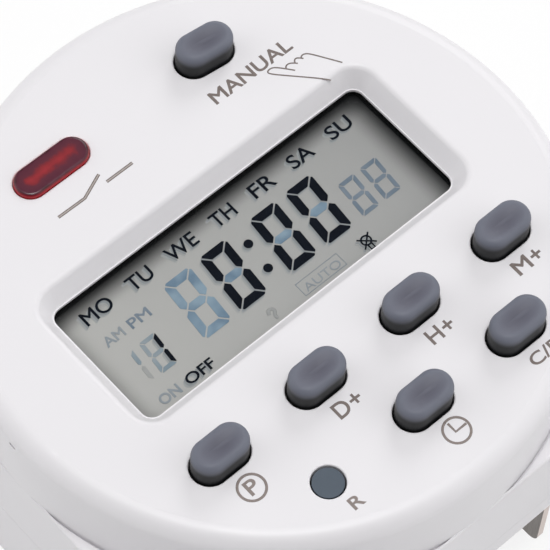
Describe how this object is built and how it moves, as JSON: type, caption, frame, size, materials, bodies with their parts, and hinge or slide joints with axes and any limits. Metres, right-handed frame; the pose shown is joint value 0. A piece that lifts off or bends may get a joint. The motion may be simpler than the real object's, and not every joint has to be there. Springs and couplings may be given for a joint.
{
  "type": "digital timer switch",
  "caption": "Square white box with a round raised face, a recessed segment display, grey rubber keys, a red lamp and blade terminals at the rear.",
  "frame": {"origin": "centre of the rear face", "axes": "+Z out of the face, +X along the printed text, +Y towards the text's top; the terminals are at -Y"},
  "size_m": [0.06, 0.06, 0.0342],
  "materials": {
    "case_white": "satin",
    "window_clear": "gloss",
    "display_film": "matte",
    "display_glass": "gloss",
    "holder_black": "matte",
    "strip_rubber": "matte",
    "board_green": "satin",
    "resin_black": "satin",
    "key_rubber": "matte",
    "reset_rubber": "matte",
    "lens_red": "gloss",
    "lamp_red": "gloss",
    "relay_blue": "gloss",
    "bobbin_white": "matte",
    "film_red": "gloss",
    "varistor_blue": "satin",
    "resistor_body": "satin",
    "can_aluminium": "satin",
    "copper": "satin",
    "contact_metal": "satin",
    "tab_nickel": "satin",
    "tin_plate": "satin",
    "steel": "satin",
    "carbon": "matte"
  },
  "bodies": {
    "case": {"front_cover": "case_white", "rear_housing": "case_white", "display_window": "window_clear", "lcd_front_polariser": "display_film", "lcd_front_glass": "display_glass", "lcd_rear_glass": "display_glass", "lcd_reflector": "display_film", "lcd_holder": "holder_black", "zebra_strips": "strip_rubber", "display_board": "board_green", "controller_blob": "resin_black", "quartz_crystal": "steel", "keypad_mat": "key_rubber", "led_lens": "lens_red", "led_lamp": "lamp_red", "power_board": "board_green", "board_link_header": "resin_black", "board_link_pins": "tin_plate", "relay_case": "relay_blue", "relay_base": "resin_black", "relay_bobbin": "bobbin_white", "relay_winding": "copper", "relay_yoke": "steel", "relay_core": "steel", "relay_fixed_contact": "contact_metal", "dropper_capacitor": "film_red", "smoothing_capacitor": "can_aluminium", "varistor": "varistor_blue", "fuse_resistor": "resistor_body", "board_resistors": "resistor_body", "rectifier_diodes": "resin_black", "driver_transistor": "resin_black", "backup_cell": "tin_plate", "cell_tabs": "tin_plate", "case_screws": "steel", "display_board_screws": "steel", "power_board_screws": "steel", "tab_supply_live": "tab_nickel", "tab_supply_neutral": "tab_nickel", "tab_contact_common": "tab_nickel", "tab_contact_open": "tab_nickel"},
    "key_program": {"key_program": "key_rubber", "pill_program": "carbon"},
    "key_day": {"key_day": "key_rubber", "pill_day": "carbon"},
    "key_hour": {"key_hour": "key_rubber", "pill_hour": "carbon"},
    "key_minute": {"key_minute": "key_rubber", "pill_minute": "carbon"},
    "key_clock": {"key_clock": "key_rubber", "pill_clock": "carbon"},
    "key_recall": {"key_recall": "key_rubber", "pill_recall": "carbon"},
    "key_manual": {"key_manual": "key_rubber", "pill_manual": "carbon"},
    "key_reset": {"key_reset": "reset_rubber", "pill_reset": "carbon"},
    "relay_armature": {"relay_armature": "steel", "relay_moving_contact": "contact_metal"}
  },
  "joints": [
    {"name": "program_press", "type": "slide", "parent": "case", "child": "key_program", "axis": [0, 0, -1], "range_m": [0, 0.001], "stiffness_N_per_m": 1500},
    {"name": "day_press", "type": "slide", "parent": "case", "child": "key_day", "axis": [0, 0, -1], "range_m": [0, 0.001], "stiffness_N_per_m": 1500},
    {"name": "hour_press", "type": "slide", "parent": "case", "child": "key_hour", "axis": [0, 0, -1], "range_m": [0, 0.001], "stiffness_N_per_m": 1500},
    {"name": "minute_press", "type": "slide", "parent": "case", "child": "key_minute", "axis": [0, 0, -1], "range_m": [0, 0.001], "stiffness_N_per_m": 1500},
    {"name": "clock_press", "type": "slide", "parent": "case", "child": "key_clock", "axis": [0, 0, -1], "range_m": [0, 0.001], "stiffness_N_per_m": 1500},
    {"name": "recall_press", "type": "slide", "parent": "case", "child": "key_recall", "axis": [0, 0, -1], "range_m": [0, 0.001], "stiffness_N_per_m": 1500},
    {"name": "manual_press", "type": "slide", "parent": "case", "child": "key_manual", "axis": [0, 0, -1], "range_m": [0, 0.001], "stiffness_N_per_m": 1500},
    {"name": "reset_press", "type": "slide", "parent": "case", "child": "key_reset", "axis": [0, 0, -1], "range_m": [0, 0.001], "stiffness_N_per_m": 1500},
    {"name": "relay_armature_rock", "type": "hinge", "parent": "case", "child": "relay_armature", "pos_m": [0.01475, -0.0096, 0.00385], "axis": [0, -1, 0], "range_deg": [0, 3], "stiffness_Nm_per_rad": 0.01, "springref_deg": -5.73}
  ]
}
